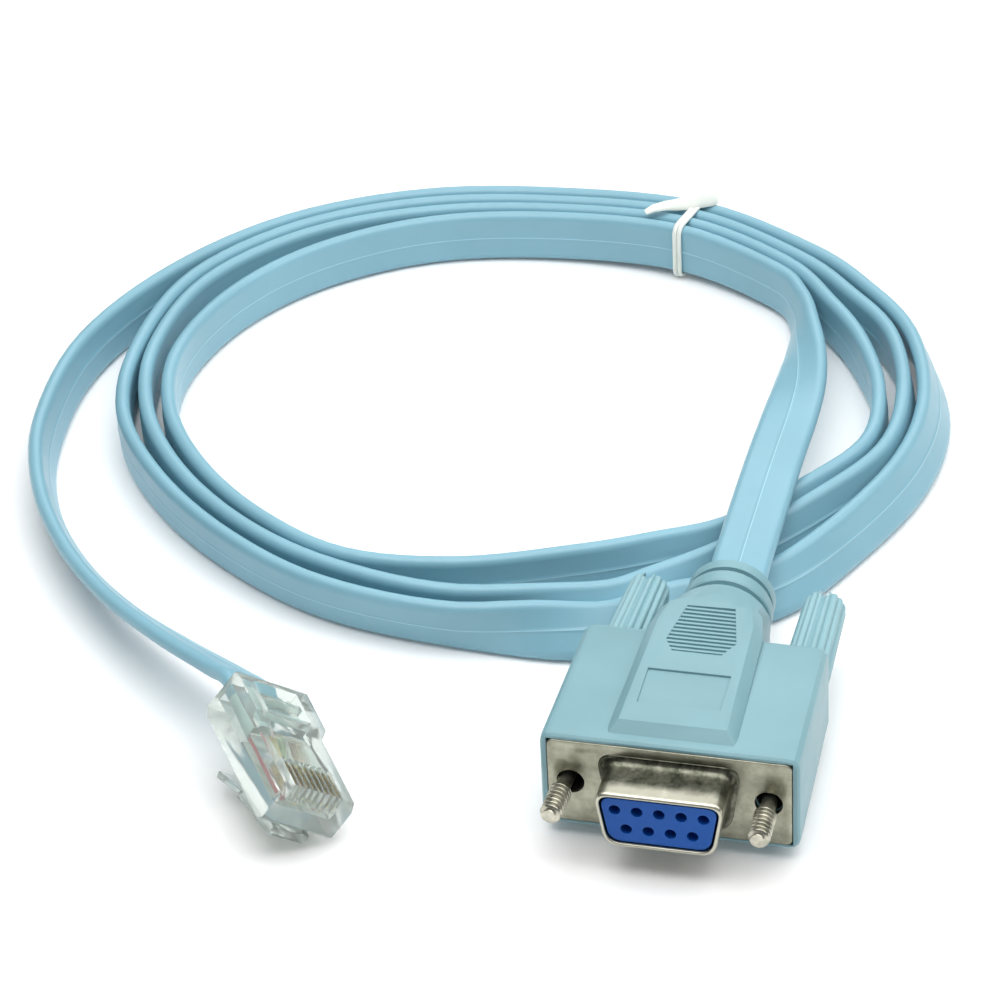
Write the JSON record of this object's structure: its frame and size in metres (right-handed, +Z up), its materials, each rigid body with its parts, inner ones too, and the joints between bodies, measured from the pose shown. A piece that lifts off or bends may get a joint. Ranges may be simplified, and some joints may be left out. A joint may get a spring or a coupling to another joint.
{
  "type": "rj45 console cable",
  "caption": "Flat console cable in a coil, with a D-shaped socket connector with two thumbscrews at one end and a clear modular plug at the other.",
  "frame": {"origin": "on the floor under the middle of the D connector's box, cable not counted", "axes": "+Z up from the floor, -Y out of the connector's mating face, +Y along its cable exit, X across the two thumbscrews"},
  "size_m": [0.1284, 0.1565, 0.0168],
  "materials": {
    "blue_plastic": "satin moulded, light blue",
    "nickel_steel": "nickel plated",
    "insulator_blue": "moulded, deep blue",
    "gold_contact": "gold plated",
    "cable_jacket": "soft satin jacket, light blue",
    "tie_white": "plastic covered wire tie, white",
    "clear_plastic": "clear polycarbonate",
    "wire_red": "wire insulation",
    "wire_white": "wire insulation",
    "wire_yellow": "wire insulation",
    "wire_green": "wire insulation",
    "wire_brown": "wire insulation",
    "wire_cream": "wire insulation"
  },
  "bodies": {
    "cable": {"connector_hood": "blue_plastic", "connector_shell": "nickel_steel", "insulator": "insulator_blue", "socket_contact_1": "gold_contact", "socket_contact_2": "gold_contact", "socket_contact_3": "gold_contact", "socket_contact_4": "gold_contact", "socket_contact_5": "gold_contact", "socket_contact_6": "gold_contact", "socket_contact_7": "gold_contact", "socket_contact_8": "gold_contact", "socket_contact_9": "gold_contact", "flat_cable": "cable_jacket", "twist_tie": "tie_white", "plug_body": "clear_plastic", "plug_blade_1": "gold_contact", "plug_blade_2": "gold_contact", "plug_blade_3": "gold_contact", "plug_blade_4": "gold_contact", "plug_blade_5": "gold_contact", "plug_blade_6": "gold_contact", "plug_blade_7": "gold_contact", "plug_blade_8": "gold_contact", "plug_wire_1": "wire_red", "plug_wire_2": "wire_white", "plug_wire_3": "wire_yellow", "plug_wire_4": "wire_green", "plug_wire_5": "wire_white", "plug_wire_6": "wire_brown", "plug_wire_7": "wire_cream", "plug_wire_8": "wire_white"},
    "thumbscrew_left": {"screw_shaft_left": "nickel_steel", "screw_knob_left": "blue_plastic"},
    "thumbscrew_right": {"screw_shaft_right": "nickel_steel", "screw_knob_right": "blue_plastic"},
    "latch": {"plug_latch": "clear_plastic"}
  },
  "joints": [
    {"name": "thumbscrew_left_turn", "type": "hinge", "parent": "cable", "child": "thumbscrew_left", "pos_m": [-0.01249, -0.0051, 0.0084], "axis": [-0.0523, -0.9986, 0], "continuous": true},
    {"name": "thumbscrew_right_turn", "type": "hinge", "parent": "cable", "child": "thumbscrew_right", "pos_m": [0.01249, 0, 0.0084], "axis": [0, -1, 0], "continuous": true},
    {"name": "latch_press", "type": "hinge", "parent": "cable", "child": "latch", "pos_m": [-0.04667, -0.02769, 0.00327], "axis": [0.5901, 0.5165, -0.6204], "range_deg": [0, 12], "stiffness_Nm_per_rad": 0.02}
  ]
}
